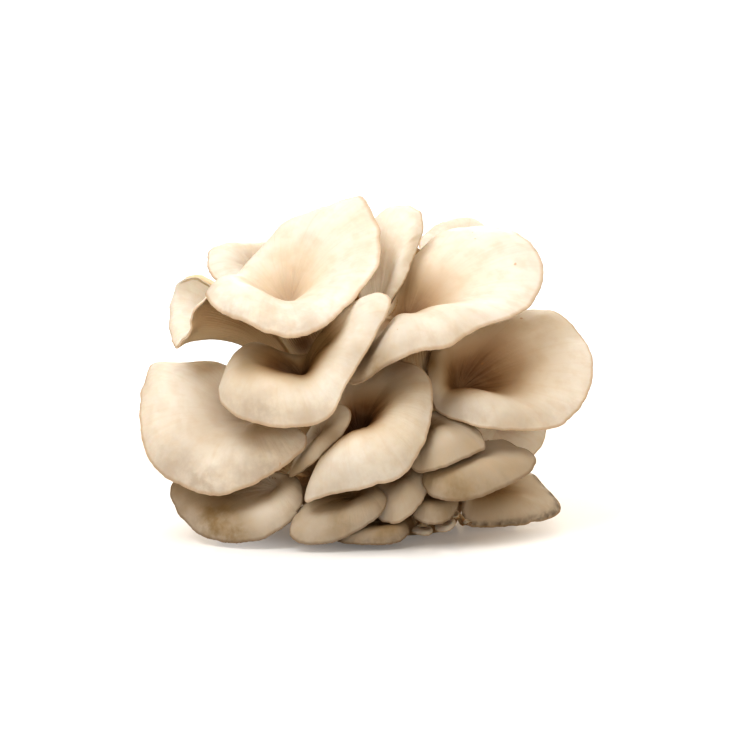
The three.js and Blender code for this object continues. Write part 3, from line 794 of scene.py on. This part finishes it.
def make_pin(name, base, way, side, bend, size):
    """One young mushroom from its base along its way, bent to a side."""
    turn = np.arange(PIN_SIDES) * 2 * math.pi / PIN_SIDES
    front = np.cross(way, side)
    circle = np.cos(turn)[:, None] * side + np.sin(turn)[:, None] * front
    grid = np.array([
        base + way * height * size + bend * (max(height, 0) / PIN_HEIGHT) ** 2
        + circle * radius * size
        for height, radius, _, _ in PIN_ROWS
    ])
    grid += noise(grid / 1.9)[..., None] * 0.12 * grid_normals(grid)
    ones = np.ones(grid.shape[:2])
    fibre = grid / 4
    top = base + way * 7.55 * size + bend
    pin = ring_mesh(name, top, grid, base - way * 1.3 * size, {
        "rad": (PIN_ROWS[:, 2:3] * ones, 0.0, 0.3),
        "zone": (PIN_ROWS[:, 3:4] * ones, 0.0, 3.0),
        "gill": (ones, 1.0, 1.0),
        "grey": (PIN_GREY * ones, PIN_GREY, PIN_GREY),
        "fringe": (0 * ones, 0.0, 0.0),
        "warm": (PIN_WARM * ones, PIN_WARM, PIN_WARM),
        "deep": (0 * ones, 0.0, 0.0),
        "fibre": (fibre, fibre[0, 0], fibre[-1, 0]),
    })
    pin.data.materials.append(FLESH)
    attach(pin, "root")


def young_pins():
    """Tiny young mushrooms on the foot, in the places that the stems and caps leave free."""
    draw = np.random.default_rng(31)
    mushrooms = tree_without(None)
    placed = []
    for _ in range(PIN_TRIES):
        azimuth = draw.uniform(0, 2 * math.pi)
        rise = math.radians(draw.uniform(-4, 80))
        size = draw.uniform(0.55, 1.25)
        lean = draw.normal(size=3) * 0.25
        level = math.cos(rise)
        out = np.array((level * math.cos(azimuth), level * math.sin(azimuth), math.sin(rise)))
        base = PIN_FIELD_MIDDLE + PIN_FIELD_RADII * out
        way = unit(unit(out / PIN_FIELD_RADII) + lean * 0.6 + np.array((0.0, 0.0, 0.35)))
        tip = base + way * PIN_HEIGHT * size
        if tip[2] < PIN_LOWEST:
            continue
        reach = gaps(mushrooms, np.array((base, (base + tip) / 2, tip)))
        if reach.min() < PIN_CLEAR + PIN_CLEAR_BY_SIZE * size:
            continue
        if any(np.linalg.norm(p - q) < PIN_SPACING * (size + other)
               for q, other in placed for p in (base, tip)):
            continue
        placed += [(base, size), (tip, size)]
        side = unit(np.cross(way, (0.31, 0.52, 0.79)))
        bend = side * draw.uniform(-1, 1) * 1.2 * size
        count = len(placed) // 2
        make_pin(f"young_pin_{count:02d}", base, way, side, bend, size)
        if count == PIN_COUNT:
            break


dress_foot()
for number, name in enumerate(NODES):
    if name != FOOT_NODE:
        Mushroom(name, number).make()
young_pins()

# ---- Floor ----------------------------------------------------------------------------------

FLOOR_SIZE, FLOOR_DROP = 2.4, 0.0002


def floor_material():
    """A pale glossy sheet that fades into the white room away from the cluster, so that it shows
    no horizon. Its own glow, which only the camera sees, keeps it as white as the room."""
    material = bpy.data.materials.new("floor")
    n = Nodes(material)
    length = n.add("VectorMath", operation="LENGTH")
    n.put(length.inputs[0], n.add("TexCoord").outputs["Object"])
    away = length.outputs["Value"]
    # Painted shadow: the glow is weaker near the cluster, which darkens the floor under it.
    glow = n.math("MULTIPLY", n.add("LightPath").outputs["Is Camera Ray"],
                  n.ramp(away, 0.045, 0.085, 0.12, 0.34))
    sheet = n.put_all(n.add("BsdfPrincipled"), Base_Color=(0.86, 0.87, 0.88, 1), Roughness=0.1,
                      Specular_IOR_Level=0.5, Emission_Color=(1.0, 0.995, 0.985, 1),
                      Emission_Strength=glow)
    fade = n.add("MixShader")
    n.put(fade.inputs[0], n.ramp(away, 0.22, 0.55))
    n.put(fade.inputs[1], sheet)
    n.put(fade.inputs[2], n.add("BsdfTransparent").outputs[0])
    n.finish(fade.outputs[0])
    return material


bpy.ops.mesh.primitive_plane_add(size=FLOOR_SIZE, location=(0, 0, -FLOOR_DROP))
floor = bpy.context.object
floor.name = "floor"
floor.data.materials.append(floor_material())

# ---- Light ----------------------------------------------------------------------------------

# name: place, what it points at, its size, its power in watts, and its colour
LIGHTS = {
    "key": ((-0.5, -0.5, 1.15), (0, 0, 0.08), (0.75, 0.75), 6.6, (0.95, 0.975, 1.0)),
    "top": ((0.1, 0.1, 1.3), (0, 0, 0.05), (1.0, 1.0), 3.9, (0.98, 0.985, 1.0)),
    "fill": ((0.15, -1.35, 0.42), (0, 0, 0.07), (0.9, 0.6), 3.2, (1.0, 0.975, 0.94)),
    "back": ((0.35, 1.2, 0.7), (0, 0, 0.06), (0.9, 0.7), 7.5, (1.0, 0.97, 0.92)),
}
# The room as the camera sees it, and the light that it gives: warm, as from flesh all round.
ROOM_SEEN, ROOM_SEEN_STRENGTH = (1, 1, 1, 1), 1.05
ROOM_LIGHT, ROOM_LIGHT_STRENGTH = (1.0, 0.73, 0.43, 1), 0.31

for name, (place, target, size, power, colour) in LIGHTS.items():
    data = bpy.data.lights.new(name, "AREA")
    data.shape = "RECTANGLE"
    data.size, data.size_y = size
    data.energy = power
    data.color = colour
    light = bpy.data.objects.new(name, data)
    bpy.context.collection.objects.link(light)
    light.location = place
    aim = np.array(target) - np.array(place)
    light.rotation_euler = Vector(aim).to_track_quat("-Z", "Y").to_euler()

world = bpy.data.worlds.new("studio")
bpy.context.scene.world = world
room = Nodes(world)
choose = room.add("MixShader")
room.put(choose.inputs[0], room.add("LightPath").outputs["Is Camera Ray"])
room.put(choose.inputs[1], room.put_all(room.add("Background"), Color=ROOM_LIGHT,
                                        Strength=ROOM_LIGHT_STRENGTH))
room.put(choose.inputs[2], room.put_all(room.add("Background"), Color=ROOM_SEEN,
                                        Strength=ROOM_SEEN_STRENGTH))
room.finish(choose.outputs[0], "OutputWorld")

bpy.context.scene.view_settings.view_transform = "Standard"
bpy.context.scene.view_settings.look = "High Contrast"

# ---- Camera ---------------------------------------------------------------------------------

ELEVATION = math.radians(8.0)
DISTANCE = 1.3
TARGET = (-0.0044, 0.0, 0.067)
SENSOR = 36.0
FOCAL_PIXELS = 2954.5  # the focal length in pixels of the photograph, which is 750 wide
PHOTO_WIDTH = 750

camera_data = bpy.data.cameras.new("camera")
camera_data.sensor_width = SENSOR
camera_data.lens = SENSOR * FOCAL_PIXELS / PHOTO_WIDTH
camera = bpy.data.objects.new("camera", camera_data)
bpy.context.collection.objects.link(camera)
camera.location = (
    TARGET[0],
    TARGET[1] - DISTANCE * math.cos(ELEVATION),
    TARGET[2] + DISTANCE * math.sin(ELEVATION),
)
camera.rotation_euler = (math.pi / 2 - ELEVATION, 0, 0)
bpy.context.scene.camera = camera
